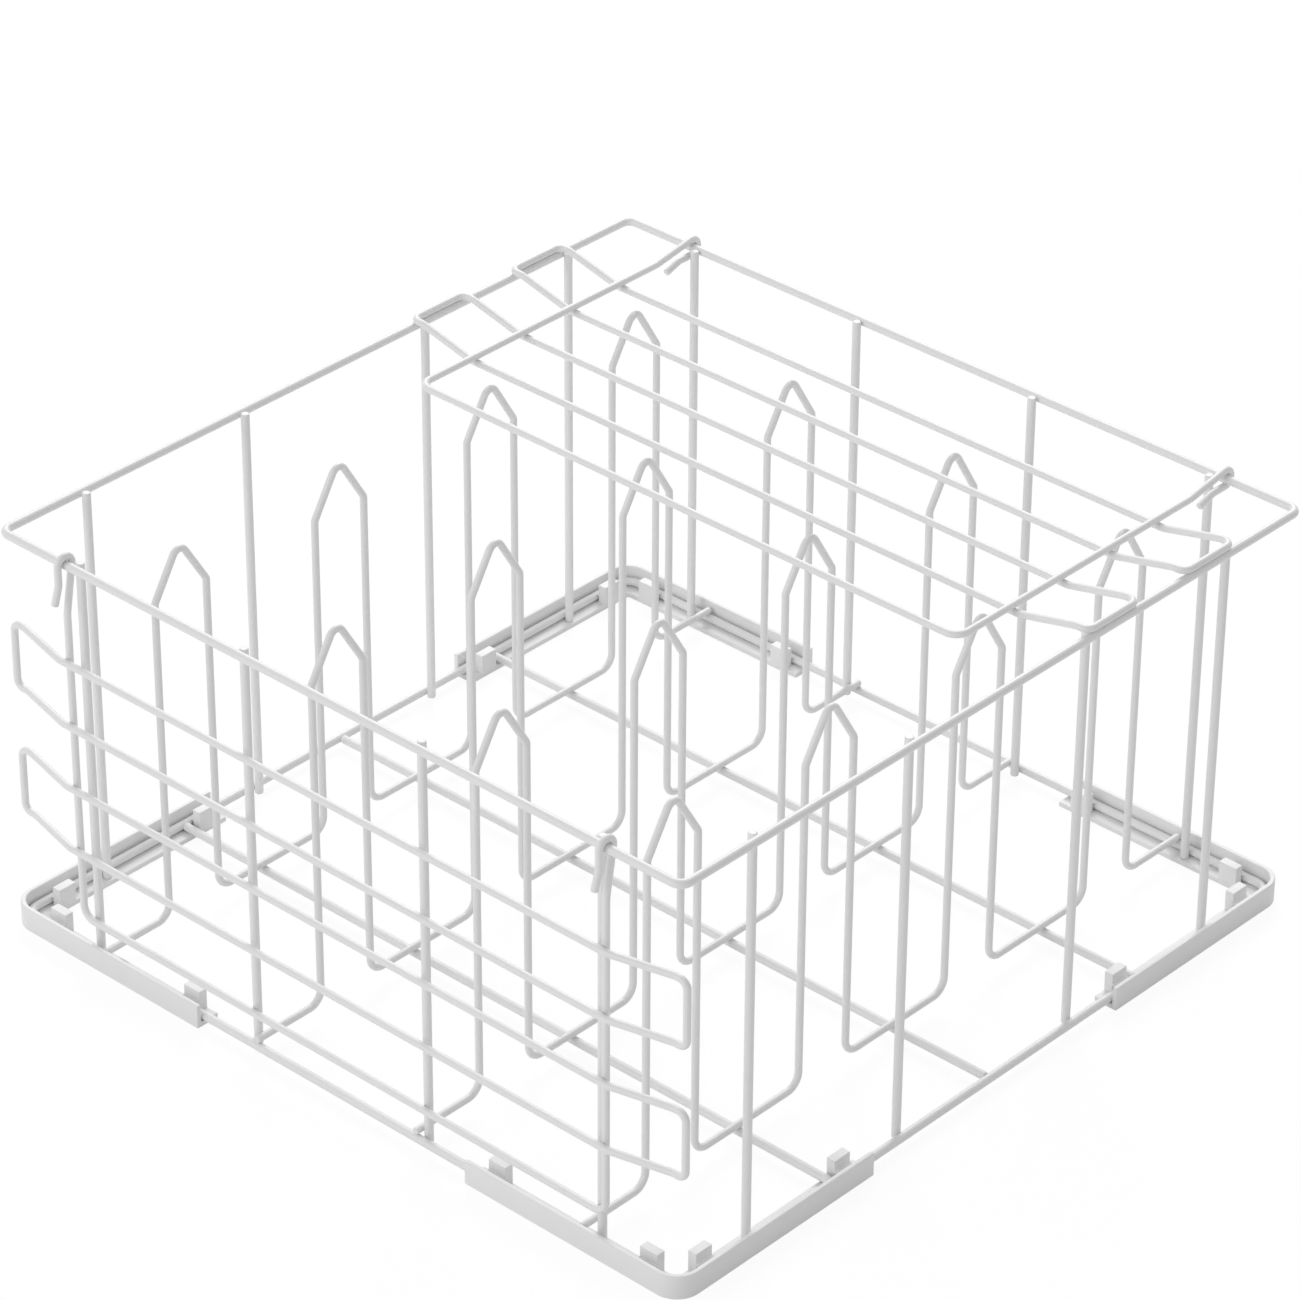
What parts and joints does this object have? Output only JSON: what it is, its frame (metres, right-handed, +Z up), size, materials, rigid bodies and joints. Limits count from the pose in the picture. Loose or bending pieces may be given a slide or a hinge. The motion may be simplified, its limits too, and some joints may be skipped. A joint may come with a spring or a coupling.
{
  "type": "dishwasher basket",
  "caption": "Open square basket of white coated wire with rows of pointed pins, clip-on corner shoes and fold-over shelves hooked round the rim, for washing crockery.",
  "frame": {"origin": "under the middle of the cage, on the surface that the corner shoes stand on", "axes": "+X to the right, along the floor wires and the shelves' hinge lines; +Y to the back, along the pin rows, towards the level shelf; +Z up"},
  "size_m": [0.5, 0.5053, 0.2567],
  "materials": {
    "coated_wire": "smooth satin plastic coating",
    "shoe_plastic": "smooth moulded plastic"
  },
  "bodies": {
    "basket": {"top_rim": "coated_wire", "base_ring": "coated_wire", "wall_wire_front_1": "coated_wire", "wall_wire_front_2": "coated_wire", "wall_wire_front_3": "coated_wire", "wall_wire_front_4": "coated_wire", "wall_wire_right_1": "coated_wire", "wall_wire_right_2": "coated_wire", "wall_wire_right_3": "coated_wire", "wall_wire_right_4": "coated_wire", "wall_wire_back_1": "coated_wire", "wall_wire_back_2": "coated_wire", "wall_wire_back_3": "coated_wire", "wall_wire_back_4": "coated_wire", "wall_wire_left_1": "coated_wire", "wall_wire_left_2": "coated_wire", "wall_wire_left_3": "coated_wire", "wall_wire_left_4": "coated_wire", "floor_wire_1": "coated_wire", "floor_wire_2": "coated_wire", "floor_wire_3": "coated_wire", "pin_row_1": "coated_wire", "pin_row_2": "coated_wire", "pin_row_3": "coated_wire", "pin_row_4": "coated_wire", "corner_shoe_front_left": "shoe_plastic", "corner_shoe_front_right": "shoe_plastic", "corner_shoe_back_right": "shoe_plastic", "corner_shoe_back_left": "shoe_plastic"},
    "back_shelf": {"back_shelf_frame": "coated_wire", "back_shelf_loop_1": "coated_wire", "back_shelf_loop_2": "coated_wire"},
    "front_shelf": {"front_shelf_frame": "coated_wire", "front_shelf_loop_1": "coated_wire", "front_shelf_loop_2": "coated_wire"}
  },
  "joints": [
    {"name": "back_shelf_hinge", "type": "hinge", "parent": "basket", "child": "back_shelf", "pos_m": [0, 0.244, 0.2497], "axis": [-1, 0, 0], "range_deg": [0, 270]},
    {"name": "front_shelf_hinge", "type": "hinge", "parent": "basket", "child": "front_shelf", "pos_m": [0, -0.244, 0.2497], "axis": [-1, 0, 0], "range_deg": [0, 270]}
  ]
}
